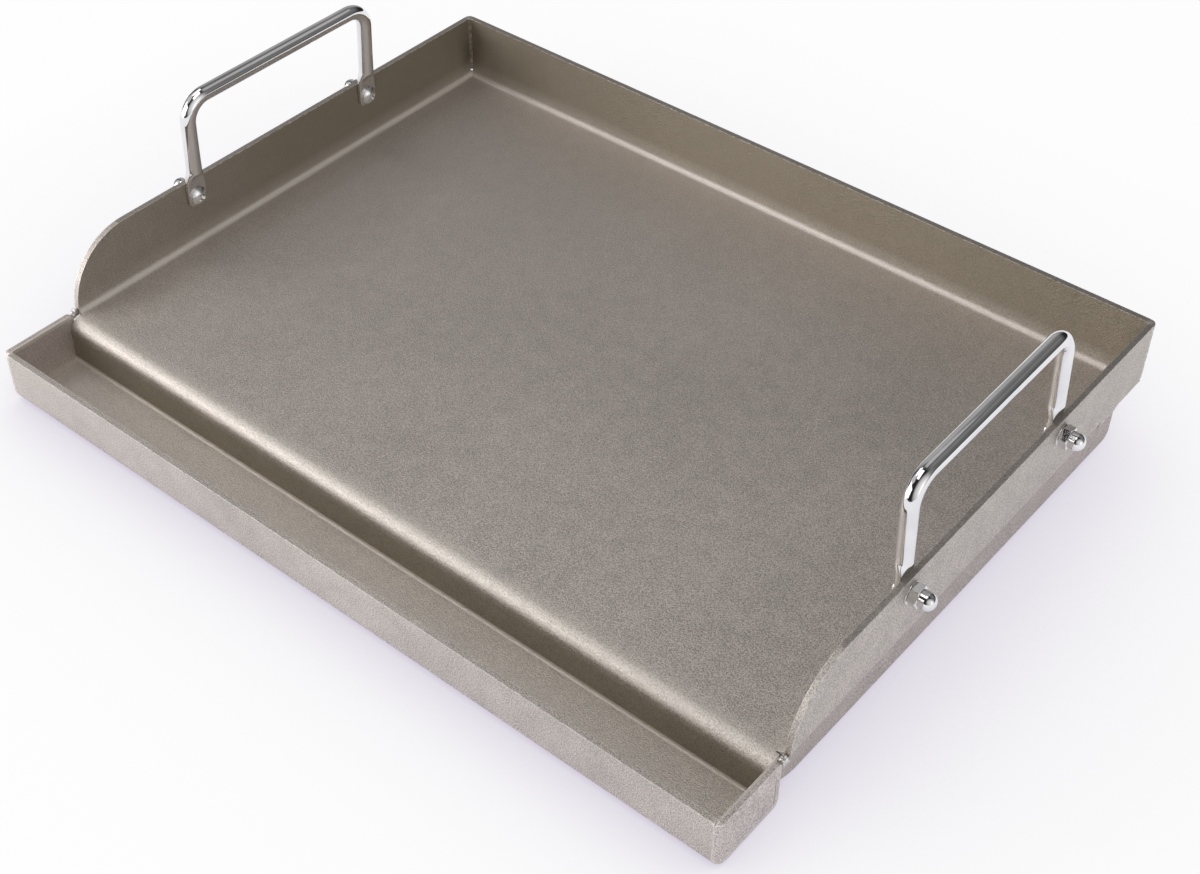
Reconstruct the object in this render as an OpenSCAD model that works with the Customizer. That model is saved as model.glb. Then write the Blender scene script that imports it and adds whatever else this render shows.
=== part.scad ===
// Griddle plate folded from one steel sheet: raised walls on three sides and a drip trough along the front.
// Two bolted bar handles stand on the side walls, and two flat rails run under the sides.
// +X is right, +Y is back and +Z is up. The origin is under the middle of the part.

/* [Sheet] */
// Outer width over the two side walls
plate_w = 432; // [300:1:600]
// Depth from the back wall's outer face to the front face of the drop
cook_d = 298.5; // [220:0.5:450]
// Thickness of the sheet
sheet_t = 3; // [2:0.1:4]
// Inside radius of the bends around the cooking plate
bend_r = 3.5; // [2:0.1:5]
// Height of the walls above the cooking surface
wall_h = 36.5; // [25:0.5:60]
// Width of the open seam at each back corner and of the slit beside each front bend
seam_gap = 0.8; // [0.4:0.1:1.5]
// Height of each back corner opening's foot above the cooking surface
notch_rise = 1; // [0.5:0.1:3]
// Height of the opening left under each back corner weld
relief_h = 2.8; // [1:0.1:6]

/* [Trough] */
// Clear width of the trough
trough_w = 34; // [20:0.5:60]
// Inside radius of the trough's two lower bends, pressed sharper than the others
trough_bend_r = 1.5; // [0.8:0.1:3.5]
// Depth from the cooking surface down to the trough floor
trough_h = 24.6; // [18:0.1:50]
// Height of the front lip above the trough floor
lip_h = 26.1; // [15:0.1:55]
// Width of the slit between each end of the drop and its cap
drop_gap = 0.8; // [0.2:0.1:1.5]
// Thickness of each trough end cap
cap_t = 3; // [2:0.1:4]
// Step from the side wall's outer face in to the cap's outer face
cap_inset = 0.8; // [0:0.1:2]
// Radius of the cap's upper corners
cap_r = 2.5; // [1:0.1:5]
// Radius of the cap's ground lower and front edges
cap_edge_r = 2.8; // [1:0.1:2.8]

/* [Rails] */
// Thickness of each rail
rail_t = 3; // [2:0.1:5]
// Depth of each rail below the plate
rail_h = 17.4; // [8:0.1:24]
// Step from the side wall's outer face in to the rail's outer face, at the rail's back end
rail_inset = 2; // [1:0.1:5]
// Angle by which each rail turns in toward the front
rail_toe = 0.4; // [0:0.1:1]
// Distance from the back wall's outer face to the rail's back end
rail_back = 23; // [10:0.5:60]
// Radius of the rail's lower back corner
rail_corner_r = 5; // [1:0.5:8]
// Length of the rail's rounded nose
rail_nose = 14; // [4:0.5:30]
// Rise of the rail's lower edge over the nose
rail_nose_rise = 3.8; // [1:0.1:7]
// Length of each weld inside the rail
rail_weld_l = 26; // [10:1:50]
// Leg of each weld inside the rail
rail_weld_leg = 3.5; // [2:0.1:5]
// Length of the weld outside the rail's back end
end_weld_l = 16; // [5:1:25]
// Height on the rail's outer face that this weld covers
end_weld_drop = 2; // [1:0.1:4]
// Height on the sheet's bend that this weld reaches above the rail
end_weld_rise = 3.9; // [2:0.1:5]

/* [Handles] */
// Diameter of the handle bar
rod_d = 8; // [6:0.1:12]
// Distance between the two legs of a handle
handle_span = 122.5; // [90:0.5:180]
// Length of the legs from the wall's top edge to the middle of the grip
handle_rise = 47; // [35:0.5:80]
// Middle-line radius of the handle's bends
handle_bend_r = 12; // [9:0.5:20]
// Inward lean of the legs
handle_lean = 3; // [0:0.5:10]
// Thickness of the flattened tabs
tab_t = 2.4; // [2:0.1:5]
// Width of the flattened tabs
tab_w = 11.5; // [10:0.1:18]
// Length of tab below the screw's middle
tab_end = 5.2; // [5:0.1:12]
// Corner radius of the tab's lower end
tab_r = 2.5; // [1:0.1:5]
// Distance from the wall's inner face to the middle of the bar, at the middle of the tab
rod_inset = 1.7; // [1:0.1:4]
// Length of the neck between tab and round bar
neck_l = 7; // [4:0.5:12]
// Step from the tab and the round bar down to the neck's surface, both sides together
neck_step = 0.1; // [0.05:0.05:0.4]
// Distance from the wall's top edge down to the screw's middle
hole_drop = 8.6; // [7:0.1:14]

/* [Fasteners] */
// Diameter of the screw shank
screw_d = 4.8; // [4:0.1:8]
// Radial clearance of the holes in tab, wall and washer
hole_clear = 0.3; // [0.1:0.05:0.8]
// Radial clearance between screw and nut
thread_clear = 0.05; // [0.02:0.01:0.2]
// Diameter of the screw head
head_d = 9.6; // [8:0.1:16]
// Height of the screw head
head_h = 3.2; // [2.5:0.1:6]
// Upright part of the screw head's rim
head_rim = 1.1; // [0.5:0.1:2]
// Width across the cross recess
recess_w = 5.2; // [3:0.1:8]
// Width of each slot of the cross recess
recess_t = 1.2; // [0.8:0.1:2]
// Depth of the cross recess
recess_h = 1.9; // [1:0.1:2.6]
// Outer diameter of the washers
washer_d = 11; // [9:0.1:18]
// Thickness of the washers
washer_t = 0.8; // [0.6:0.1:2]
// Width across the flats of the nuts
nut_af = 9.6; // [8:0.1:14]
// Height of the nut's hexagon
nut_hex_h = 4.2; // [3:0.1:8]
// Diameter of the nut's dome
dome_d = 8.4; // [6.5:0.1:13]
// Full height of the nuts
nut_h = 11; // [9:0.1:18]
// Length of shank inside the nut
engage_l = 7.4; // [4:0.1:9]

/* [Hidden] */
$fn = 96;
eps = 0.01;
plate_lap = 10;
cut_lap = 1;
out_r = bend_r + sheet_t;
total_d = cook_d + trough_w + sheet_t;
y_back = total_d / 2;
y_drop = y_back - cook_d;
y_lip = -total_d / 2;
y_bend = y_drop + out_r;
y_wall = y_bend + seam_gap;
z_plate = sheet_t + trough_h;
z_under = z_plate - sheet_t;
z_wall = z_plate + wall_h;
z_lip = sheet_t + lip_h;
z_notch = z_plate + notch_rise;
half_w = plate_w / 2;
flat_w = half_w - out_r;
x_in = half_w - sheet_t;
x_cap = half_w - cap_inset - cap_t;
notch_w = sheet_t + seam_gap;
y_hand = y_back - cook_d / 2;
z_hole = z_wall - hole_drop;
hole_d = screw_d + 2 * hole_clear;
nose_r = (rail_nose * rail_nose + rail_nose_rise * rail_nose_rise) / (2 * rail_nose_rise);
y_rail_b = y_back - rail_back;
rail_l = y_rail_b - y_bend;
end_weld_h = out_r - end_weld_rise;
end_weld_out = sqrt(out_r * out_r - end_weld_h * end_weld_h) - out_r + rail_inset;
z_foot = z_under - rail_h;
tab_x = x_in - tab_t / 2;
leg_z0 = hole_drop / 2 + neck_l;
leg_z1 = hole_drop / 2 + handle_rise - handle_bend_r;
dome_r = dome_d / 2;
nut_face_r = nut_af / 2 + 0.1;
bore_end = 0.6;
head_r = head_d / 2;
crown = head_h - head_rim;
crown_r = (head_r * head_r + crown * crown) / (2 * crown);
shank_l = tab_t + sheet_t + washer_t + engage_l;
bead_r = (bend_r + seam_gap) * 0.75;
steel = [0.56, 0.54, 0.51];
weld = [0.48, 0.46, 0.44];
bright = [0.80, 0.80, 0.82];

// Helpers

// Turns a drawing of depth and height into a solid that runs along X
module along_x(x0, x1) {
    translate([x0, 0, 0])
        rotate([90, 0, 90])
            linear_extrude(x1 - x0)
                children();
}

// Turns a drawing of width and height into a solid that runs along Y
module along_y(y0, y1) {
    translate([0, y1, 0])
        rotate([90, 0, 0])
            linear_extrude(y1 - y0)
                children();
}

// What a rounded corner takes away from a square corner at the origin, pointing along the two signs
module corner_cut(r, sx, sy) {
    difference() {
        translate([sx > 0 ? -eps : -r, sy > 0 ? -eps : -r])
            square(r + eps);
        translate([sx * r, sy * r])
            circle(r);
    }
}

// The sheet

// Block as wide as twice half, with its two lower side edges and its lower back edge rounded
module tray_block(half, y0, y1, z0, z1, r) {
    intersection() {
        along_y(y0, y1)
            difference() {
                translate([-half, z0])
                    square([2 * half, z1 - z0]);
                translate([-half, z0])
                    corner_cut(r, 1, 1);
                translate([half, z0])
                    corner_cut(r, -1, 1);
            }
        along_x(-half - 1, half + 1)
            difference() {
                translate([y0 - 1, z0])
                    square([y1 - y0 + 1, z1 - z0]);
                translate([y1, z0])
                    corner_cut(r, -1, 1);
            }
    }
}

// Side view of the walls, with the quarter round at their front end
module side_outline() {
    difference() {
        translate([y_wall, z_under])
            square([y_back - y_wall, z_wall - z_under]);
        translate([y_wall, z_wall])
            corner_cut(wall_h, 1, -1);
    }
}

// Plan of the walls, rounded at the back corners
module tray_plan() {
    difference() {
        translate([-half_w, y_wall])
            square([plate_w, y_back - y_wall]);
        translate([-half_w, y_back])
            corner_cut(sheet_t, 1, -1);
        translate([half_w, y_back])
            corner_cut(sheet_t, -1, -1);
    }
}

// Plate with its three walls
module tray() {
    difference() {
        intersection() {
            tray_block(half_w, y_wall, y_back, z_under, z_wall, out_r);
            along_x(-half_w - 1, half_w + 1)
                side_outline();
            linear_extrude(z_wall + 1)
                tray_plan();
        }
        tray_block(x_in, y_wall - 1, y_back - sheet_t, z_plate, z_wall + 1, bend_r);
    }
}

// Lower drop, trough floor and lip, as depth and height
module trough_section() {
    difference() {
        translate([y_lip, 0])
            square([trough_w + 2 * sheet_t, z_lip]);
        translate([y_lip, 0])
            corner_cut(out_r, 1, 1);
        translate([y_drop + sheet_t, 0])
            corner_cut(out_r, -1, 1);
        difference() {
            translate([y_lip + sheet_t, sheet_t])
                square([trough_w, z_lip]);
            translate([y_lip + sheet_t, sheet_t])
                corner_cut(trough_bend_r, 1, 1);
            translate([y_drop, sheet_t])
                corner_cut(trough_bend_r, -1, 1);
        }
        translate([y_drop - 1, z_plate - out_r])
            square([sheet_t + 2, z_lip]);
    }
}

// Upper drop, front bend and the plate as far as y_end, as depth and height
module front_section(y_end) {
    difference() {
        translate([y_drop, out_r])
            square([y_end - y_drop, z_plate - out_r]);
        translate([y_drop, z_plate])
            corner_cut(out_r, 1, -1);
        difference() {
            translate([y_drop + sheet_t, 0])
                square([y_end - y_drop, z_under]);
            translate([y_drop + sheet_t, z_under])
                corner_cut(bend_r, 1, -1);
        }
    }
}

// Open notch at the top of the right back corner
module corner_notch() {
    translate([half_w - notch_w, y_back - notch_w, z_notch])
        cube([notch_w + 1, notch_w + 1, z_wall - z_notch + 1]);
}

// Narrow slit between the right end of the drop and the cap beside it
module drop_slit() {
    translate([x_cap - drop_gap, y_drop - eps, out_r])
        cube([drop_gap + cut_lap, y_bend - y_drop + 2 * eps, z_plate]);
}

// Holes for the two screws in the right side wall
module wall_holes() {
    for (s = [-1, 1])
        translate([x_in - 1, y_hand + s * handle_span / 2, z_hole])
            rotate([0, 90, 0])
                cylinder(d = hole_d, h = sheet_t + 2);
}

module griddle_sheet() {
    color(steel)
        difference() {
            union() {
                tray();
                along_x(-flat_w, flat_w)
                    front_section(y_wall + plate_lap);
                along_x(-x_cap, x_cap) {
                    front_section(y_bend);
                    trough_section();
                }
            }
            corner_notch();
            drop_slit();
            wall_holes();
            mirror([1, 0, 0]) {
                corner_notch();
                drop_slit();
                wall_holes();
            }
        }
}

// End caps of the trough

// Side view of a cap, which follows the outside of the trough except at its lower front corner
module cap_outline() {
    difference() {
        translate([y_lip, 0])
            square([trough_w + 2 * sheet_t, z_lip]);
        translate([y_drop + sheet_t, 0])
            corner_cut(out_r, -1, 1);
        translate([y_lip, z_lip])
            corner_cut(cap_r, 1, -1);
        translate([y_drop + sheet_t, z_lip])
            corner_cut(cap_r, -1, -1);
    }
}

// Right cap with its outer lower and front edges ground round, square at its lower front corner
module cap_plate() {
    intersection() {
        along_x(x_cap, x_cap + cap_t)
            cap_outline();
        along_y(y_lip - cut_lap, y_drop + sheet_t + cut_lap)
            difference() {
                translate([x_cap - cut_lap, 0])
                    square([cap_t + cut_lap, z_lip + cut_lap]);
                translate([x_cap + cap_t, 0])
                    corner_cut(cap_edge_r, -1, 1);
            }
        linear_extrude(z_lip + cut_lap)
            difference() {
                translate([x_cap - cut_lap, y_lip])
                    square([cap_t + cut_lap, trough_w + 2 * sheet_t + cut_lap]);
                translate([x_cap + cap_t, y_lip])
                    corner_cut(cap_edge_r, -1, 1);
            }
    }
}

// Quarter disc at the right cap's lower front corner, with the same ground edge
module cap_corner() {
    translate([x_cap, y_lip + out_r, out_r])
        rotate([0, 90, 0])
            rotate([0, 0, -90])
                rotate_extrude(angle = 90)
                    difference() {
                        square([out_r, cap_t]);
                        translate([out_r, cap_t])
                            corner_cut(cap_edge_r, -1, -1);
                    }
}

module trough_cap() {
    color(steel) {
        difference() {
            cap_plate();
            translate([x_cap - cut_lap, y_lip - cut_lap, -cut_lap])
                cube([cap_t + 2 * cut_lap, out_r + cut_lap, out_r + cut_lap]);
        }
        cap_corner();
    }
}

module right_trough_cap() {
    trough_cap();
}

module left_trough_cap() {
    mirror([1, 0, 0])
        trough_cap();
}

// Rails under the sides

// Moves the rail's own frame, whose origin is the outer upper edge of its back end
module rail_frame() {
    translate([half_w - rail_inset, y_rail_b, z_under])
        rotate([0, 0, -rail_toe])
            children();
}

module rail() {
    color(steel)
        rail_frame()
            along_x(-rail_t, 0)
                difference() {
                    intersection() {
                        translate([-rail_l, -rail_h])
                            square([rail_l, rail_h]);
                        union() {
                            translate([rail_nose - rail_l, -rail_h])
                                square([rail_l - rail_nose, rail_h]);
                            translate([rail_nose - rail_l, nose_r - rail_h])
                                circle(nose_r);
                        }
                    }
                    translate([0, -rail_h])
                        corner_cut(rail_corner_r, -1, 1);
                }
}

module right_rail() {
    rail();
}

module left_rail() {
    mirror([1, 0, 0])
        rail();
}

// Welds inside each rail and at the outer side of its back end
module rail_welds() {
    color(weld) {
        rail_frame()
            for (t = [0.12, 0.5, 0.88])
                along_y(-rail_l * t - rail_weld_l / 2, -rail_l * t + rail_weld_l / 2)
                    polygon([[-rail_t, 0], [-rail_t - rail_weld_leg, 0], [-rail_t, -rail_weld_leg]]);
        difference() {
            rail_frame()
                along_y(-end_weld_l, 0)
                    difference() {
                        polygon([[-rail_t, 0], [end_weld_out, end_weld_rise],
                            [0, -end_weld_drop], [-rail_t, -end_weld_drop]]);
                        translate([-rail_t - cut_lap, -rail_h])
                            square([rail_t + cut_lap, rail_h]);
                    }
            along_y(y_rail_b - end_weld_l - cut_lap, y_rail_b + cut_lap)
                translate([flat_w, z_under + out_r])
                    circle(out_r);
        }
    }
}

module right_rail_welds() {
    rail_welds();
}

module left_rail_welds() {
    mirror([1, 0, 0])
        rail_welds();
}

// Corner welds

// Fills the notch at the back corner, rounded on the outside
module corner_weld() {
    color(weld)
        translate([0, 0, z_notch + relief_h])
            linear_extrude(z_wall - z_notch - relief_h)
                difference() {
                    translate([half_w - notch_w, y_back - notch_w])
                        square(notch_w);
                    translate([half_w, y_back])
                        corner_cut(sheet_t, -1, -1);
                }
}

module right_corner_weld() {
    corner_weld();
}

module left_corner_weld() {
    mirror([1, 0, 0])
        corner_weld();
}

// Bead in the gap between the cap's back edge and the wall's front end
module front_weld() {
    color(weld)
        intersection() {
            translate([half_w - bead_r * 0.7, (y_drop + sheet_t + y_wall) / 2, z_plate - bead_r * 0.2])
                sphere(bead_r);
            translate([x_cap, y_drop + sheet_t, z_under])
                cube([half_w - x_cap + 2, y_wall - y_drop - sheet_t, wall_h]);
        }
}

module right_front_weld() {
    front_weld();
}

module left_front_weld() {
    mirror([1, 0, 0])
        front_weld();
}

// Handles

// Leans the handle about the middle of its tabs, half way between screw and wall edge
module handle_frame() {
    translate([x_in - rod_inset, y_hand, z_wall - hole_drop / 2])
        rotate([0, -handle_lean, 0])
            children();
}

// One leg with its bend, neck and tab, at the back end of the right handle
module handle_leg() {
    handle_frame() {
        translate([0, handle_span / 2, leg_z0])
            cylinder(d = rod_d, h = leg_z1 - leg_z0);
        translate([0, handle_span / 2 - handle_bend_r, leg_z1])
            rotate([0, -90, 0])
                rotate_extrude(angle = 90)
                    translate([handle_bend_r, 0])
                        circle(d = rod_d);
    }
    hull() {
        handle_frame()
            translate([0, handle_span / 2, leg_z0])
                cylinder(d = rod_d - neck_step, h = 1, $fn = 32);
        translate([tab_x, y_hand + handle_span / 2, z_wall - 0.5])
            cube([tab_t - neck_step, tab_w - neck_step, 1], center = true);
    }
    along_x(x_in - tab_t, x_in)
        difference() {
            translate([y_hand + handle_span / 2 - tab_w / 2, z_hole - tab_end])
                square([tab_w, hole_drop + tab_end]);
            translate([y_hand + handle_span / 2 - tab_w / 2, z_hole - tab_end])
                corner_cut(tab_r, 1, 1);
            translate([y_hand + handle_span / 2 + tab_w / 2, z_hole - tab_end])
                corner_cut(tab_r, -1, 1);
            translate([y_hand + handle_span / 2, z_hole])
                circle(d = hole_d);
        }
}

module handle() {
    color(bright) {
        handle_leg();
        translate([0, 2 * y_hand, 0])
            mirror([0, 1, 0])
                handle_leg();
        handle_frame()
            translate([0, handle_bend_r - handle_span / 2, leg_z1 + handle_bend_r])
                rotate([-90, 0, 0])
                    cylinder(d = rod_d, h = handle_span - 2 * handle_bend_r);
    }
}

module right_handle() {
    handle();
}

module left_handle() {
    mirror([1, 0, 0])
        handle();
}

// Fasteners

// Moves to a screw's axis at the right wall's inner face, with Z pointing out through the wall
module screw_frame(s) {
    translate([x_in, y_hand + s * handle_span / 2, z_hole])
        rotate([0, 90, 0])
            children();
}

// Pan-head screw with a cross recess, head on the tab's inner side
module screw(s, turn) {
    color(bright)
        screw_frame(s)
            translate([0, 0, -tab_t]) {
                cylinder(d = screw_d, h = shank_l);
                difference() {
                    intersection() {
                        translate([0, 0, -head_h])
                            cylinder(r = head_r, h = head_h);
                        translate([0, 0, crown_r - head_h])
                            sphere(crown_r);
                    }
                    for (a = [turn, turn + 90])
                        rotate([0, 0, a])
                            rotate([90, 0, 0])
                                translate([0, 0, -recess_t / 2])
                                    linear_extrude(recess_t)
                                        polygon([[-recess_w / 2, -head_h - eps],
                                            [recess_w / 2, -head_h - eps],
                                            [recess_w / 5, recess_h - head_h],
                                            [-recess_w / 5, recess_h - head_h]]);
                }
            }
}

module washer(s) {
    color(bright)
        screw_frame(s)
            translate([0, 0, sheet_t])
                difference() {
                    cylinder(d = washer_d, h = washer_t);
                    translate([0, 0, -1])
                        cylinder(d = hole_d, h = washer_t + 2);
                }
}

// Domed nut, its hexagon's corners trimmed by a cone on both sides
module nut(s, turn) {
    color(bright)
        screw_frame(s)
            translate([0, 0, sheet_t + washer_t])
                difference() {
                    union() {
                        intersection() {
                            rotate([0, 0, turn])
                                cylinder(d = nut_af / cos(30), h = nut_hex_h, $fn = 6);
                            cylinder(r1 = nut_face_r, r2 = nut_face_r + 2 * nut_hex_h, h = nut_hex_h);
                            cylinder(r1 = nut_face_r + 2 * nut_hex_h, r2 = nut_face_r, h = nut_hex_h);
                        }
                        cylinder(d = dome_d, h = nut_h - dome_r);
                        translate([0, 0, nut_h - dome_r])
                            sphere(d = dome_d);
                    }
                    translate([0, 0, -cut_lap])
                        cylinder(d = screw_d + 2 * thread_clear, h = engage_l + bore_end + cut_lap);
                }
}

module right_front_screw() {
    screw(-1, 20);
}

module right_back_screw() {
    screw(1, 65);
}

module left_front_screw() {
    mirror([1, 0, 0])
        screw(-1, 52);
}

module left_back_screw() {
    mirror([1, 0, 0])
        screw(1, 12);
}

module right_front_washer() {
    washer(-1);
}

module right_back_washer() {
    washer(1);
}

module left_front_washer() {
    mirror([1, 0, 0])
        washer(-1);
}

module left_back_washer() {
    mirror([1, 0, 0])
        washer(1);
}

module right_front_nut() {
    nut(-1, 30);
}

module right_back_nut() {
    nut(1, 15);
}

module left_front_nut() {
    mirror([1, 0, 0])
        nut(-1, 22);
}

module left_back_nut() {
    mirror([1, 0, 0])
        nut(1, 48);
}

// Nodes

griddle_sheet();
left_trough_cap();
right_trough_cap();
left_rail();
right_rail();
left_handle();
right_handle();
left_front_screw();
left_back_screw();
right_front_screw();
right_back_screw();
left_front_washer();
left_back_washer();
right_front_washer();
right_back_washer();
left_front_nut();
left_back_nut();
right_front_nut();
right_back_nut();
left_corner_weld();
right_corner_weld();
left_front_weld();
right_front_weld();
left_rail_welds();
right_rail_welds();
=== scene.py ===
"""Looks of the griddle plate: edges, handles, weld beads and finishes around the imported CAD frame."""
import math

import bmesh
import bpy
from mathutils import Matrix, Vector, noise


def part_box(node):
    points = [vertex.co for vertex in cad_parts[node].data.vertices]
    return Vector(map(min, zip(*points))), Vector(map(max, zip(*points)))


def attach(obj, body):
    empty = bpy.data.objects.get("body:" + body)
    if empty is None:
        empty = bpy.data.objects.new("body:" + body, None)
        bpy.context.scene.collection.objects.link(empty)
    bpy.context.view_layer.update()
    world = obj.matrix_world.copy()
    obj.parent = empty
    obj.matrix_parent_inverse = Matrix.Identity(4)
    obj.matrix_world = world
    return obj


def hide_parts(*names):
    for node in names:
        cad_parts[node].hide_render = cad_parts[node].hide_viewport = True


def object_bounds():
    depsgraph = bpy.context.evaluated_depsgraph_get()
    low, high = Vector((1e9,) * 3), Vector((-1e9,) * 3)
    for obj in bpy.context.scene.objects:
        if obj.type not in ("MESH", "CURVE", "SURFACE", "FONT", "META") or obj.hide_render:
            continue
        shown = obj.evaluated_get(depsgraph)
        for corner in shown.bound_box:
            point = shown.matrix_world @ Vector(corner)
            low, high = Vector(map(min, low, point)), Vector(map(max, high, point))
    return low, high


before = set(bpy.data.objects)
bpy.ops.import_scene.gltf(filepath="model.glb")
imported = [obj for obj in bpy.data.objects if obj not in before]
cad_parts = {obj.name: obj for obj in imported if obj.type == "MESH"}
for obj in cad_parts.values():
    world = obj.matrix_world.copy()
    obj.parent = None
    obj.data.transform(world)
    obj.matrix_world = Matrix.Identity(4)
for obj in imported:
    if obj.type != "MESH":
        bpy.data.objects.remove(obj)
cad_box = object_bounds()
MM = 0.001

# Sizes of the CAD source, in metres; the bar is a hair thinner, so that its skin stays inside the CAD box
SHEET_T = 3.0 * MM
ROD_R = 3.99 * MM
ROD_INSET = 1.7 * MM
TAB_HALF_T = 1.2 * MM
TAB_HALF_W = 5.75 * MM
TAB_END = 5.2 * MM
TAB_R = 2.5 * MM
NECK_L = 7.0 * MM
HANDLE_BEND_R = 12.0 * MM
HANDLE_LEAN = math.radians(3.0)
HANDLE_RISE = 47.0 * MM
WALL_H = 36.5 * MM
TROUGH_W = 34.0 * MM
BEND_IN_R = 3.5 * MM
BEND_OUT_R = BEND_IN_R + SHEET_T

# A point this close to a face counts as on it
ON_FACE = 0.3 * MM

# Places read from the CAD frame
SHEET_LOW, SHEET_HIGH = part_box("griddle_sheet")
WALL_TOP = SHEET_HIGH.z
WALL_IN_X = SHEET_HIGH.x - SHEET_T
WALL_IN_Y = SHEET_HIGH.y - SHEET_T
DROP_Y = SHEET_LOW.y + SHEET_T + TROUGH_W
PLATE_TOP = WALL_TOP - WALL_H

# Camera, fitted to the photograph's straight edges
CAMERA_AT = (0.439687, -0.519362, 0.610611)
CAMERA_RIGHT = (0.772683, 0.634745, 0.007753)
CAMERA_FORWARD = (-0.462346, 0.571105, -0.678288)
CAMERA_LENS = 55.987
SENSOR_W = 36.0

# Colours of the marks on the steel and on the plating; some of them are painted glints, painted shade and
# painted highlights
# Bright specks: painted glints on the grain
PAINTED_GLINT = (0.80, 0.76, 0.71, 1)
SCRATCH = (0.78, 0.74, 0.68, 1)
# Painted shade on the back wall, the left wall and the front drop
WALL_SHADE = (0.27, 0.23, 0.14, 1)
# Darkens the walls' top faces
WALL_TOP_DARK = (0.17, 0.15, 0.13, 1)
STAIN = (0.13, 0.105, 0.08, 1)
# Painted highlights, and painted light on the trough floor
PAINTED_HIGHLIGHT = (0.84, 0.79, 0.72, 1)
BARE = (0.95, 0.92, 0.87, 1)
# Painted shade on the handles' flattened ends
FLAT_END_SHADE = (0.62, 0.58, 0.53, 1)


# Node trees

class Tree:
    """A short way to write a node tree: add() makes a node and sets its options and inputs."""

    def __init__(self, owner):
        owner.use_nodes = True
        self.tree = owner.node_tree
        self.tree.nodes.clear()

    def add(self, kind, inputs=None, **options):
        node = self.tree.nodes.new("ShaderNode" + kind)
        for key, value in options.items():
            setattr(node, key, value)
        for key, value in (inputs or {}).items():
            if isinstance(value, bpy.types.NodeSocket):
                self.tree.links.new(value, node.inputs[key])
            else:
                node.inputs[key].default_value = value
        return node

    def math(self, operation, a, b=0.0):
        return self.add("Math", {0: a, 1: b}, operation=operation).outputs[0]

    def remap(self, value, low, high, to_low=0.0, to_high=1.0, smooth=False):
        kind = "SMOOTHSTEP" if smooth else "LINEAR"
        inputs = {0: value, 1: low, 2: high, 3: to_low, 4: to_high}
        return self.add("MapRange", inputs, interpolation_type=kind).outputs[0]

    def mix(self, factor, a, b):
        return self.add("Mix", {0: factor, 6: a, 7: b}, data_type="RGBA").outputs[2]

    def noise(self, vector, scale, detail=2.0, roughness=0.5):
        inputs = {"Vector": vector, "Scale": scale, "Detail": detail, "Roughness": roughness}
        return self.add("TexNoise", inputs).outputs[0]

    def shifted(self, vector, offset):
        return self.add("VectorMath", {0: vector, 1: (offset, offset, offset)}, operation="ADD").outputs[0]

    def stretched(self, vector, scale, turn=0.0):
        inputs = {"Vector": vector, "Scale": scale, "Rotation": (0.0, 0.0, turn)}
        return self.add("Mapping", inputs).outputs[0]


def new_material(name):
    material = bpy.data.materials.new(name)
    return material, Tree(material)


def edge_mask(tree, radius):
    """1 along the sharp edges of the mesh, 0 away from them."""
    rounded = tree.add("Bevel", {"Radius": radius}, samples=4).outputs[0]
    plain = tree.add("NewGeometry").outputs["Normal"]
    alike = tree.add("VectorMath", {0: rounded, 1: plain}, operation="DOT_PRODUCT").outputs["Value"]
    return tree.remap(alike, 0.995, 0.86)


def corner_stain(tree, place):
    """1 in the inner back corners, where the upright welds have darkened the walls, 0 elsewhere."""
    axes = tree.add("SeparateXYZ", {0: place}).outputs
    side = tree.math("SUBTRACT", tree.math("ABSOLUTE", axes[0]), WALL_IN_X)
    back = tree.math("SUBTRACT", axes[1], WALL_IN_Y)
    reach = tree.add("CombineXYZ", {0: side, 1: back}).outputs[0]
    reach = tree.add("VectorMath", {0: reach}, operation="LENGTH").outputs["Value"]
    near = tree.remap(reach, 1.0 * MM, 13.0 * MM, 1.0, 0.0, smooth=True)
    mid = WALL_TOP - 20.0 * MM
    height = tree.math("ABSOLUTE", tree.math("SUBTRACT", axes[2], mid))
    height = tree.remap(height, 4.0 * MM, 19.0 * MM, 1.0, 0.25, smooth=True)
    beside = tree.math("LESS_THAN", side, ON_FACE)
    before = tree.math("LESS_THAN", back, ON_FACE)
    inner = tree.math("MULTIPLY", beside, before)
    return tree.math("MULTIPLY", tree.math("MULTIPLY", near, height), inner)


def painted_wall_shade(tree, place):
    """1 where painted shade darkens the back wall, the left wall and the front drop, 0 elsewhere."""
    axes = tree.add("SeparateXYZ", {0: place}).outputs
    back = tree.math("ABSOLUTE", tree.math("SUBTRACT", axes[1], WALL_IN_Y))
    back = tree.math("LESS_THAN", back, ON_FACE)
    left = tree.math("ABSOLUTE", tree.math("ADD", axes[0], WALL_IN_X))
    left = tree.math("LESS_THAN", left, ON_FACE)
    left = tree.math("MULTIPLY", left, tree.remap(axes[1], -0.20, 0.02))
    wall = tree.math("MAXIMUM", back, left)
    wall = tree.math("MULTIPLY", wall, tree.remap(axes[2], PLATE_TOP, PLATE_TOP + 3.0 * BEND_IN_R))
    drop = tree.math("ABSOLUTE", tree.math("SUBTRACT", axes[1], DROP_Y))
    drop = tree.math("LESS_THAN", drop, ON_FACE)
    below = tree.remap(axes[2], PLATE_TOP - 0.6 * BEND_OUT_R, PLATE_TOP - 1.5 * BEND_OUT_R)
    drop = tree.math("MULTIPLY", drop, below)
    return tree.math("MAXIMUM", wall, drop)


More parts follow.
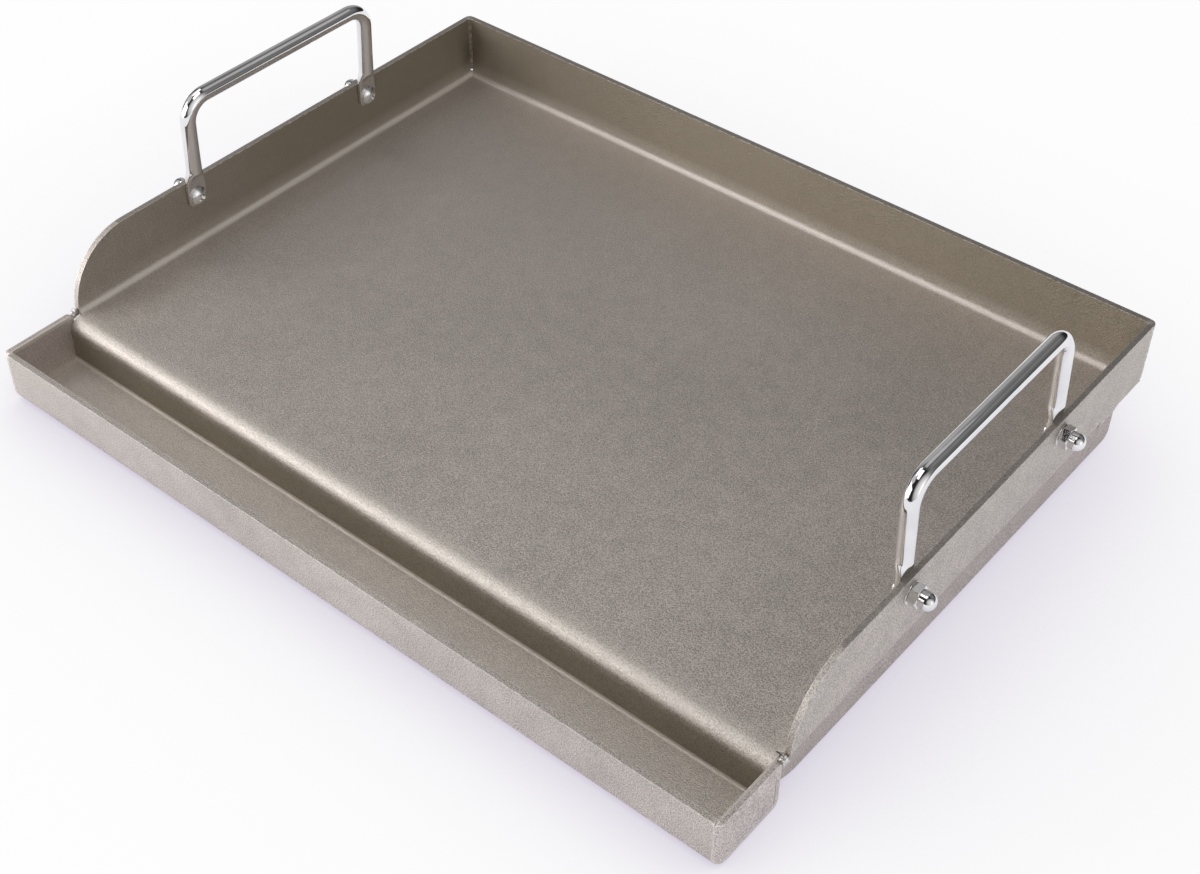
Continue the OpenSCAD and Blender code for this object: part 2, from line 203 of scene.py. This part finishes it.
def wall_feet(tree, place):
    """Painted highlight: 1 in the inside bends at the feet of the side walls, 0.45 at the back wall's, 0
    elsewhere.
    """
    axes = tree.add("SeparateXYZ", {0: place}).outputs
    side = tree.math("SUBTRACT", WALL_IN_X, tree.math("ABSOLUTE", axes[0]))
    back = tree.math("SUBTRACT", WALL_IN_Y, axes[1])
    reach = tree.math("MINIMUM", side, back)
    inner = tree.math("GREATER_THAN", reach, -ON_FACE)
    near = tree.remap(reach, 0.3 * BEND_IN_R, 0.9 * BEND_IN_R, 1.0, 0.0, smooth=True)
    rise = tree.math("SUBTRACT", axes[2], PLATE_TOP)
    low = tree.remap(rise, 0.3 * BEND_IN_R, 0.8 * BEND_IN_R, 1.0, 0.0, smooth=True)
    above = tree.math("GREATER_THAN", rise, -ON_FACE)
    foot = tree.math("MULTIPLY", tree.math("MULTIPLY", near, low), tree.math("MULTIPLY", inner, above))
    beside = tree.math("LESS_THAN", side, back)
    return tree.math("MULTIPLY", foot, tree.remap(beside, 0.0, 1.0, 0.45, 1.0))


def wall_tops(tree, place):
    """1 on the sheared top edges of the walls, 0 elsewhere."""
    height = tree.add("SeparateXYZ", {0: place}).outputs[2]
    return tree.math("GREATER_THAN", height, WALL_TOP - 0.25 * MM)


def trough_floor(tree, place):
    """1 on the trough's floor, which painted light brightens, 2 along its sharp back corner, where a
    painted highlight lies, 0 elsewhere.
    """
    axes = tree.add("SeparateXYZ", {0: place}).outputs
    low = tree.math("LESS_THAN", axes[2], SHEET_T + 1.6 * MM)
    inside = tree.math("GREATER_THAN", axes[2], SHEET_T - ON_FACE)
    behind_lip = tree.math("GREATER_THAN", axes[1], SHEET_LOW.y + SHEET_T)
    corner = tree.remap(tree.math("SUBTRACT", DROP_Y, axes[1]), 1.6 * MM, 0.8 * MM, 1.0, 2.0)
    floor = tree.math("MULTIPLY", tree.math("MULTIPLY", low, inside), behind_lip)
    return tree.math("MULTIPLY", floor, corner)


def painted_glint_strength(tree, place):
    """Strength of painted glints: the grain's contrast and its bright specks rise toward the front right
    corner, where light catches the grain, and fall toward the back left one.
    """
    front_right = (0.6, -0.8, 0.0)
    along = tree.add("VectorMath", {0: place, 1: front_right}, operation="DOT_PRODUCT").outputs["Value"]
    return tree.remap(along, -0.16, 0.16, 0.4, 1.25)


def front_bend_highlight(tree, place):
    """Painted highlight: 1 on the outside of the rounded front edge, fading out to 0 on both sides."""
    axes = tree.add("SeparateXYZ", {0: place}).outputs
    ahead = tree.math("SUBTRACT", DROP_Y + BEND_OUT_R, axes[1])
    above = tree.math("SUBTRACT", axes[2], PLATE_TOP - BEND_OUT_R)
    reach = tree.add("CombineXYZ", {0: tree.math("MAXIMUM", ahead, 0.0), 1: above}).outputs[0]
    reach = tree.add("VectorMath", {0: reach}, operation="LENGTH").outputs["Value"]
    off = tree.math("ABSOLUTE", tree.math("SUBTRACT", reach, BEND_OUT_R))
    outside = tree.math("LESS_THAN", off, 0.4 * MM)
    behind = tree.remap(ahead, -8.0 * MM, 3.0 * MM, smooth=True)
    below = tree.remap(above, -0.5 * MM, 3.0 * MM, smooth=True)
    return tree.math("MULTIPLY", outside, tree.math("MULTIPLY", behind, below))


# Materials

def blasted_steel(name, light, dark, seed):
    """Bead-blasted sheet: fine grain with bright specks that are painted glints, cloudy tone, worn edges
    and scratches, with painted shade and painted highlights laid over them.
    """
    material, tree = new_material(name)
    origin = tree.add("TexCoord").outputs["Object"]
    place = tree.shifted(origin, seed)
    grain = tree.noise(place, 1550.0, 2.0, 0.6)
    pits = tree.noise(tree.shifted(place, 3.1), 2100.0, 1.0, 0.5)
    cloud = tree.noise(place, 11.0, 3.0, 0.55)
    blotch = tree.noise(place, 110.0, 2.0, 0.5)
    chips = tree.noise(place, 420.0, 2.0, 0.6)
    tone = tree.math("ADD", tree.math("MULTIPLY", grain, 0.80), tree.math("MULTIPLY", cloud, 0.10))
    tone = tree.math("ADD", tone, tree.math("MULTIPLY", blotch, 0.10))
    # Painted glints: the grain's contrast grows toward the front right corner
    glint_strength = painted_glint_strength(tree, origin)
    tone = tree.math("MULTIPLY", tree.math("SUBTRACT", tone, 0.5), glint_strength)
    colour = tree.mix(tree.remap(tone, -0.14, 0.14), dark, light)
    # Bright specks are painted glints, stronger toward the front right corner
    painted_glint = tree.math("MULTIPLY", tree.remap(pits, 0.60, 0.72), tree.math("MULTIPLY", glint_strength, 0.45))
    colour = tree.mix(painted_glint, colour, PAINTED_GLINT)
    scratch = tree.noise(tree.stretched(place, (300.0, 14.0, 300.0), 0.5), 1.0, 1.0)
    scratch = tree.remap(scratch, 0.75, 0.79)
    colour = tree.mix(tree.math("MULTIPLY", scratch, 0.22), colour, SCRATCH)
    # Painted shade: a brown darkening on the back wall, the left wall's rear and the front drop
    colour = tree.mix(tree.math("MULTIPLY", painted_wall_shade(tree, origin), 0.60), colour, WALL_SHADE)
    # The walls' top faces are made darker
    colour = tree.mix(tree.math("MULTIPLY", wall_tops(tree, origin), 0.4), colour, WALL_TOP_DARK)
    stain = corner_stain(tree, origin)
    stain = tree.math("MULTIPLY", stain, tree.remap(blotch, 0.3, 0.7, 0.15, 0.50))
    colour = tree.mix(stain, colour, STAIN)
    worn = tree.math("MULTIPLY", edge_mask(tree, 0.8 * MM), tree.remap(chips, 0.38, 0.58, 0.2, 1.0))
    # Painted highlights on the front bend, the wall feet and the trough's back corner, and painted light on
    # the trough floor
    highlight_mask = tree.math("MULTIPLY", front_bend_highlight(tree, origin), tree.remap(grain, 0.3, 0.7, 0.3, 0.9))
    painted_trough_light = tree.math("MULTIPLY", trough_floor(tree, origin), 0.42)
    foot = tree.math("MULTIPLY", wall_feet(tree, origin), 0.9)
    highlight_mask = tree.math("MAXIMUM", tree.math("MAXIMUM", painted_trough_light, foot), highlight_mask)
    colour = tree.mix(highlight_mask, colour, PAINTED_HIGHLIGHT)
    colour = tree.mix(worn, colour, BARE)
    rough = tree.remap(cloud, 0.3, 0.7, 0.58, 0.62)
    rough = tree.math("ADD", rough, tree.remap(grain, 0.3, 0.7, -0.05, 0.05))
    rough = tree.math("SUBTRACT", rough, tree.math("MULTIPLY", worn, 0.10))
    height = tree.math("ADD", grain, tree.math("MULTIPLY", pits, 0.5))
    bump = tree.add("Bump", {"Strength": 0.7, "Distance": 0.00035, "Height": height})
    shader = tree.add("BsdfPrincipled", {"Base Color": colour, "Metallic": 1.0, "Roughness": rough,
                                         "Normal": bump.outputs[0]})
    tree.add("OutputMaterial", {"Surface": shader.outputs[0]})
    return material


def weld_steel(name, light, dark, dull, smooth):
    """Blasted weld metal: lumpy, with smoother bright spots and darker hollows."""
    material, tree = new_material(name)
    place = tree.add("TexCoord").outputs["Object"]
    lump = tree.noise(place, 420.0, 3.0, 0.6)
    grain = tree.noise(place, 1500.0, 2.0, 0.5)
    colour = tree.mix(tree.remap(lump, 0.35, 0.65), dark, light)
    rough = tree.remap(lump, 0.3, 0.7, dull, smooth)
    height = tree.math("ADD", lump, tree.math("MULTIPLY", grain, 0.25))
    bump = tree.add("Bump", {"Strength": 0.8, "Distance": 0.0004, "Height": height})
    shader = tree.add("BsdfPrincipled", {"Base Color": colour, "Metallic": 1.0, "Roughness": rough,
                                         "Normal": bump.outputs[0]})
    tree.add("OutputMaterial", {"Surface": shader.outputs[0]})
    return material


def bright_plating(name, smooth, dull, pressed=0.0):
    """Polished plating with waves, scratches and haze; pressed adds haze on the flattened ends and darkens
    their colour as painted shade.
    """
    material, tree = new_material(name)
    place = tree.add("TexCoord").outputs["Object"]
    wave = tree.noise(place, 160.0, 2.0, 0.5)
    haze = tree.noise(place, 60.0, 3.0, 0.6)
    hair = tree.noise(tree.stretched(place, (1800.0, 60.0, 1800.0)), 1.0, 1.0)
    colour = tree.mix(tree.remap(haze, 0.3, 0.7), (0.78, 0.77, 0.77, 1), (0.88, 0.87, 0.86, 1))
    rough = tree.remap(haze, 0.35, 0.7, smooth, dull)
    rough = tree.math("ADD", rough, tree.remap(hair, 0.6, 0.75, 0.0, 0.05))
    if pressed:
        flat = tree.add("Attribute", attribute_name="pressed").outputs["Fac"]
        rough = tree.math("ADD", rough, tree.math("MULTIPLY", flat, pressed))
        # Painted shade: the flattened ends are darkened
        colour = tree.mix(tree.math("MULTIPLY", flat, 0.5), colour, FLAT_END_SHADE)
    bump = tree.add("Bump", {"Strength": 0.25, "Distance": 0.00005, "Height": wave})
    shader = tree.add("BsdfPrincipled", {"Base Color": colour, "Metallic": 1.0, "Roughness": rough,
                                         "Normal": bump.outputs[0]})
    tree.add("OutputMaterial", {"Surface": shader.outputs[0]})
    return material


STEEL = blasted_steel("blasted_sheet", (0.815, 0.75, 0.69, 1), (0.382, 0.355, 0.325, 1), 0.0)
# The caps take a lighter copy of the sheet's steel as painted light, the rails a darker copy as painted
# shade
CAP_STEEL_LIT = blasted_steel("blasted_cap_painted_light", (0.91, 0.825, 0.78, 1), (0.43, 0.39, 0.365, 1), 0.7)
RAIL_STEEL_SHADED = blasted_steel("blasted_bar_painted_shade", (0.72, 0.645, 0.595, 1), (0.34, 0.305, 0.28, 1), 1.3)
BEAD = weld_steel("bright_bead", (0.94, 0.91, 0.86, 1), (0.42, 0.39, 0.36, 1), 0.46, 0.22)
WELD = weld_steel("blasted_weld", (0.76, 0.71, 0.655, 1), (0.40, 0.37, 0.335, 1), 0.62, 0.46)
CHROME = bright_plating("bright_rod", 0.06, 0.11, 0.20)
NUT_PLATE = bright_plating("bright_nut", 0.10, 0.17)
SCREW_PLATE = bright_plating("satin_screw", 0.12, 0.20)


# Pieces that replace CAD nodes

def smooth_step(value):
    t = min(max(value, 0.0), 1.0)
    return t * t * (3.0 - 2.0 * t)


def add_piece(name, bm, material, node):
    """Turns a bmesh into a piece that stands for a CAD node."""
    bmesh.ops.recalc_face_normals(bm, faces=bm.faces)
    for face in bm.faces:
        face.smooth = True
    mesh = bpy.data.meshes.new(name)
    bm.to_mesh(mesh)
    bm.free()
    mesh.materials.append(material)
    piece = bpy.data.objects.new(name, mesh)
    bpy.context.scene.collection.objects.link(piece)
    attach(piece, "root")
    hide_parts(node)


# Points of a bar section, sharpness of a flattened end's edges, and numbers of sections along the bar
RING_POINTS = 96
EDGE_SHARPNESS = 8
TAB_STEPS_MM = (0.0, 0.1, 0.2, 0.35, 0.6, 1.0, 1.5, 2.0, 2.5, 4.0, 6.0, 8.0)
NECK_STEPS = 28
LEG_STEPS = 6
BEND_STEPS = 18

# How far below the wall's top a tab starts to narrow, and the bevel of its lower edge
NECK_BELOW = 4.0 * MM
TAB_BEVEL = 0.3 * MM


def bar_ring(centre, across, along, half_t, half_w):
    """One section of the bar: an ellipse as wide as half_w, pressed to half_t, with rounded edges."""
    squeeze = 0.0
    if half_t < 0.998 * ROD_R:
        squeeze = ((ROD_R / half_t) ** EDGE_SHARPNESS - 1.0) ** (1.0 / EDGE_SHARPNESS)
    ring = []
    for i in range(RING_POINTS):
        angle = 2.0 * math.pi * i / RING_POINTS
        part = math.cos(angle)
        u = ROD_R * part / (1.0 + (abs(part) * squeeze) ** EDGE_SHARPNESS) ** (1.0 / EDGE_SHARPNESS)
        v = half_w * math.sin(angle)
        ring.append(centre + across * u + along * v)
    return ring


def tab_half_width(z, tab_low):
    """Half width of the flattened end at a height: round lower corners, then narrowing to the round bar."""
    above = (z - (WALL_TOP - NECK_BELOW)) / (NECK_L + NECK_BELOW)
    width = ROD_R + (TAB_HALF_W - ROD_R) * (1.0 - min(max(above, 0.0), 1.0) ** 2)
    rise = z - tab_low
    if rise < TAB_R:
        width += math.sqrt(TAB_R ** 2 - (TAB_R - rise) ** 2) - TAB_R
    return width


def tab_half_thickness(z, tab_low):
    """Half thickness of the flattened end at a height, with a small bevel at its lower edge."""
    grown = min(max((z - WALL_TOP - 0.2 * MM) / (NECK_L - 1.0 * MM), 0.0), 1.0)
    bevel = TAB_BEVEL * max(1.0 - (z - tab_low) / TAB_BEVEL, 0.0)
    return TAB_HALF_T + (ROD_R - TAB_HALF_T) * grown ** 2 - bevel


class Hoop:
    """One handle's legs along Y, its leaning plane and the start of its bends."""

    def __init__(self, label):
        washers = [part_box(f"{label}_{end}_washer") for end in ("front", "back")]
        self.side = 1.0 if label == "right" else -1.0
        self.legs = [(low.y + high.y) / 2.0 for low, high in washers]
        self.screw_z = (washers[0][0].z + washers[0][1].z) / 2.0
        self.pivot_x = WALL_IN_X - ROD_INSET
        self.pivot_z = (WALL_TOP + self.screw_z) / 2.0
        self.up = Vector((-self.side * math.sin(HANDLE_LEAN), 0.0, math.cos(HANDLE_LEAN)))
        self.across = Vector((self.side * math.cos(HANDLE_LEAN), 0.0, math.sin(HANDLE_LEAN)))
        reach = WALL_TOP - self.pivot_z + HANDLE_RISE - HANDLE_BEND_R
        self.bend_start = Vector((self.side * self.pivot_x, 0.0, self.pivot_z)) + self.up * reach


def leg_sections(hoop, y, inward):
    """Sections of one leg from its lower end to its bend, each with its amount of flattening."""
    tab_low = hoop.screw_z - TAB_END
    neck_top = WALL_TOP + NECK_L
    start = WALL_TOP - NECK_BELOW
    heights = [tab_low + step * MM for step in TAB_STEPS_MM]
    heights += [start + (neck_top - start) * i / NECK_STEPS for i in range(NECK_STEPS + 1)]
    heights += [neck_top + (hoop.bend_start.z - neck_top) * i / LEG_STEPS for i in range(1, LEG_STEPS + 1)]
    sections = []
    for z in heights:
        rod_x = hoop.pivot_x - (z - hoop.pivot_z) * math.tan(HANDLE_LEAN)
        tab_x = WALL_IN_X - TAB_HALF_T
        lean = smooth_step((z - WALL_TOP) / NECK_L)
        turn = HANDLE_LEAN * lean
        centre = Vector((hoop.side * (tab_x + lean * (rod_x - tab_x)), y, z))
        across = Vector((hoop.side * math.cos(turn), 0.0, math.sin(turn)))
        along = Vector((0.0, inward, 0.0))
        ring = bar_ring(centre, across, along, tab_half_thickness(z, tab_low), tab_half_width(z, tab_low))
        sections.append((ring, 1.0 - smooth_step((z - WALL_TOP - 2.0 * MM) / (4.0 * MM))))
    return sections


def bend_sections(hoop, y, inward):
    """Sections of one bend, from its leg to the straight grip."""
    sections = []
    for i in range(1, BEND_STEPS + 1):
        angle = math.pi / 2.0 * i / BEND_STEPS
        out = Vector((0.0, -inward * math.cos(angle), 0.0)) + hoop.up * math.sin(angle)
        centre = hoop.bend_start + Vector((0.0, y + inward * HANDLE_BEND_R, 0.0)) + out * HANDLE_BEND_R
        sections.append((bar_ring(centre, hoop.across, -out, ROD_R, ROD_R), 0.0))
    return sections


def build_handle(label):
    """Round bar bent to a hoop, both its ends pressed flat, as one skin over a row of sections."""
    hoop = Hoop(label)
    sections = []
    for y, inward in zip(hoop.legs, (1.0, -1.0)):
        half = leg_sections(hoop, y, inward) + bend_sections(hoop, y, inward)
        sections += half if inward > 0.0 else half[::-1]
    bm = bmesh.new()
    flat = bm.verts.layers.float.new("pressed")
    rows = []
    for ring, pressed in sections:
        row = [bm.verts.new(point) for point in ring]
        for vert in row:
            vert[flat] = pressed
        rows.append(row)
    for low, high in zip(rows, rows[1:]):
        for i in range(RING_POINTS):
            j = (i + 1) % RING_POINTS
            bm.faces.new((low[i], low[j], high[j], high[i]))
    bm.faces.new(rows[0])
    bm.faces.new(rows[-1])
    add_piece(f"{label}_handle_bar", bm, CHROME, f"{label}_handle")


def add_lump(bm, centre, radii, seed, rough):
    """One uneven lump of weld metal, pushed in and out by noise."""
    made = bmesh.ops.create_icosphere(bm, subdivisions=4, radius=1.0)["verts"]
    for vert in made:
        push = noise.noise(vert.co * 1.6 + Vector((seed, 2.0 * seed, -seed)))
        push += 0.5 * noise.noise(vert.co * 3.7 + Vector((-seed, seed, 3.0 * seed)))
        point = vert.co * (1.0 + rough * push)
        vert.co = centre + Vector((point.x * radii.x, point.y * radii.y, point.z * radii.z))


def build_front_weld(label):
    """Three lumps that tie the trough cap's corner to the wall's foot."""
    low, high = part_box(f"{label}_front_weld")
    size = high - low
    side = 1.0 if label == "right" else -1.0
    bm = bmesh.new()
    # Place of each lump as shares of the CAD box, and its size as a share of it
    lumps = ((0.45, 0.36, 0.48, 0.36), (0.47, 0.60, 0.58, 0.36), (0.60, 0.72, 0.42, 0.27))
    for i, (fx, fy, fz, share) in enumerate(lumps):
        x = low.x + size.x * (fx if side > 0.0 else 1.0 - fx)
        centre = Vector((x, low.y + size.y * fy, low.z + size.z * fz))
        add_lump(bm, centre, size * share * 1.05, 1.7 * i + side, 0.30)
    add_piece(f"{label}_front_bead", bm, BEAD, f"{label}_front_weld")


for label in ("left", "right"):
    build_handle(label)
    build_front_weld(label)


# CAD nodes that keep their shape

def dress(node, material, edge):
    """Gives a CAD node its finish, and rounds its sharp edges by a small radius."""
    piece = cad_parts[node]
    for slot in piece.material_slots:
        slot.material = material
    weld = piece.modifiers.new("join", "WELD")
    weld.merge_threshold = 1e-6
    bevel = piece.modifiers.new("edge", "BEVEL")
    bevel.limit_method = "ANGLE"
    bevel.angle_limit = math.radians(40)
    bevel.width = edge
    bevel.segments = 3
    bevel.use_clamp_overlap = True
    piece.modifiers.new("shade", "WEIGHTED_NORMAL")


# Endings of node names, finish and edge radius
FINISHES = (("sheet", STEEL, 0.45 * MM),
            ("cap", CAP_STEEL_LIT, 0.4 * MM),
            ("rail", RAIL_STEEL_SHADED, 0.4 * MM),
            (("weld", "welds"), WELD, 0.3 * MM),
            ("nut", NUT_PLATE, 0.15 * MM),
            (("screw", "washer"), SCREW_PLATE, 0.15 * MM))

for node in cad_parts:
    for ending, material, edge in FINISHES:
        if node.endswith(ending):
            dress(node, material, edge)


# Stage, light and camera

def direction(azimuth, elevation):
    """Unit vector; azimuth from +X towards +Y, in degrees."""
    a = math.radians(azimuth)
    e = math.radians(elevation)
    return Vector((math.cos(e) * math.cos(a), math.cos(e) * math.sin(a), math.sin(e)))


# Half side of the floor, its gap under the object and the reach of the shade round the object
FLOOR_HALF = 4.0
FLOOR_GAP = 0.5 * MM
SHADE_REACH = 0.2


def build_floor():
    """White floor, shaded close to the object, that the metal reflects."""
    bm = bmesh.new()
    bmesh.ops.create_grid(bm, x_segments=8, y_segments=8, size=FLOOR_HALF)
    mesh = bpy.data.meshes.new("floor")
    bm.to_mesh(mesh)
    bm.free()
    floor = bpy.data.objects.new("floor", mesh)
    bpy.context.scene.collection.objects.link(floor)
    floor.location.z = cad_box[0].z - FLOOR_GAP
    material, tree = new_material("white_floor")
    path = tree.add("LightPath")
    glossy = path.outputs["Is Glossy Ray"]
    share = tree.math("ADD", tree.math("MULTIPLY", path.outputs["Is Camera Ray"], 0.97), glossy)
    lit_from = tuple(direction(272, 38))
    inputs = {"Distance": SHADE_REACH, "Normal": lit_from}
    lit = tree.add("AmbientOcclusion", inputs, samples=12).outputs["AO"]
    dark = tree.mix(glossy, (0.53, 0.47, 0.61, 1), (0.42, 0.37, 0.48, 1))
    bright = tree.mix(glossy, (1, 1, 1, 1), (0.95, 0.965, 1.0, 1))
    matt = tree.add("BsdfDiffuse", {"Color": (0.93, 0.92, 0.95, 1)})
    white = tree.add("Emission", {"Color": tree.mix(lit, dark, bright), "Strength": 1.0})
    mixed = tree.add("MixShader", {0: share, 1: matt.outputs[0], 2: white.outputs[0]})
    tree.add("OutputMaterial", {"Surface": mixed.outputs[0]})
    mesh.materials.append(material)


# Softboxes: name, place, point aimed at, side length in metres, brightness
SOFTBOXES = (("low_left_box", direction(-135, 16) * 1.5, (0, -0.1, 0), 0.9, 3.7),
             ("low_front_box", direction(-113, 22) * 1.5, (0.1, -0.1, 0), 0.8, 1.9),
             ("big_left_box", direction(-155, 38) * 1.5, (0, -0.1, 0), 1.2, 0.55),
             ("top_left_box", Vector((-0.55, 0.0, 1.0)), (0, 0, 0), 0.5, 1.4),
             ("top_box", Vector((0.0, -0.2, 1.0)), (0, -0.2, 0), 0.5, 1.9),
             ("top_back_box", Vector((0.0, 0.5, 1.0)), (0, 0, 0), 0.5, 0.3))


def build_softboxes():
    for name, place, target, size, brightness in SOFTBOXES:
        light = bpy.data.lights.new(name, "AREA")
        light.shape = "SQUARE"
        light.size = size
        light.energy = brightness * math.pi * size * size
        light.color = (1.0, 0.985, 1.0)
        lamp = bpy.data.objects.new(name, light)
        lamp.location = place
        lamp.rotation_euler = (Vector(target) - place).to_track_quat("-Z", "Y").to_euler()
        bpy.context.scene.collection.objects.link(lamp)


# Pale walls of the room: azimuth, elevation, half angle in degrees, and strength
ROOM_GLOWS = ((135, 14, 40, 0.37), (125, 48, 36, 0.07), (80, 50, 36, 0.12), (40, 30, 36, 0.12),
              (0, 6, 30, 0.60), (0, 20, 44, 0.12), (-28, 26, 48, 0.70))


def build_world():
    """Studio surroundings: pale walls in a dim room, white to the camera."""
    world = bpy.data.worlds.new("studio")
    bpy.context.scene.world = world
    tree = Tree(world)
    ray = tree.add("TexCoord").outputs["Generated"]
    level = 0.02
    for azimuth, elevation, spread, strength in ROOM_GLOWS:
        towards = tuple(direction(azimuth, elevation))
        facing = tree.add("VectorMath", {0: ray, 1: towards}, operation="DOT_PRODUCT").outputs["Value"]
        glow = tree.remap(facing, math.cos(math.radians(spread)), 1.0, 0.0, strength, smooth=True)
        level = tree.math("ADD", glow, level)
    camera = tree.add("LightPath").outputs["Is Camera Ray"]
    room = tree.add("Background", {"Color": (1.0, 0.99, 1.0, 1), "Strength": level})
    white = tree.add("Background", {"Color": (1, 1, 1, 1), "Strength": 1.0})
    mixed = tree.add("MixShader", {0: camera, 1: room.outputs[0], 2: white.outputs[0]})
    tree.add("OutputWorld", {"Surface": mixed.outputs[0]})


def build_camera():
    data = bpy.data.cameras.new("camera")
    data.lens = CAMERA_LENS
    data.sensor_fit = "HORIZONTAL"
    data.sensor_width = SENSOR_W
    data.clip_start = 0.01
    right = Vector(CAMERA_RIGHT)
    back = -Vector(CAMERA_FORWARD)
    up = back.cross(right)
    camera = bpy.data.objects.new("camera", data)
    turn = Matrix((right, up, back)).transposed().to_4x4()
    camera.matrix_world = Matrix.Translation(CAMERA_AT) @ turn
    bpy.context.scene.collection.objects.link(camera)
    bpy.context.scene.camera = camera


build_floor()
build_softboxes()
build_world()
build_camera()
bpy.context.scene.view_settings.view_transform = "Standard"
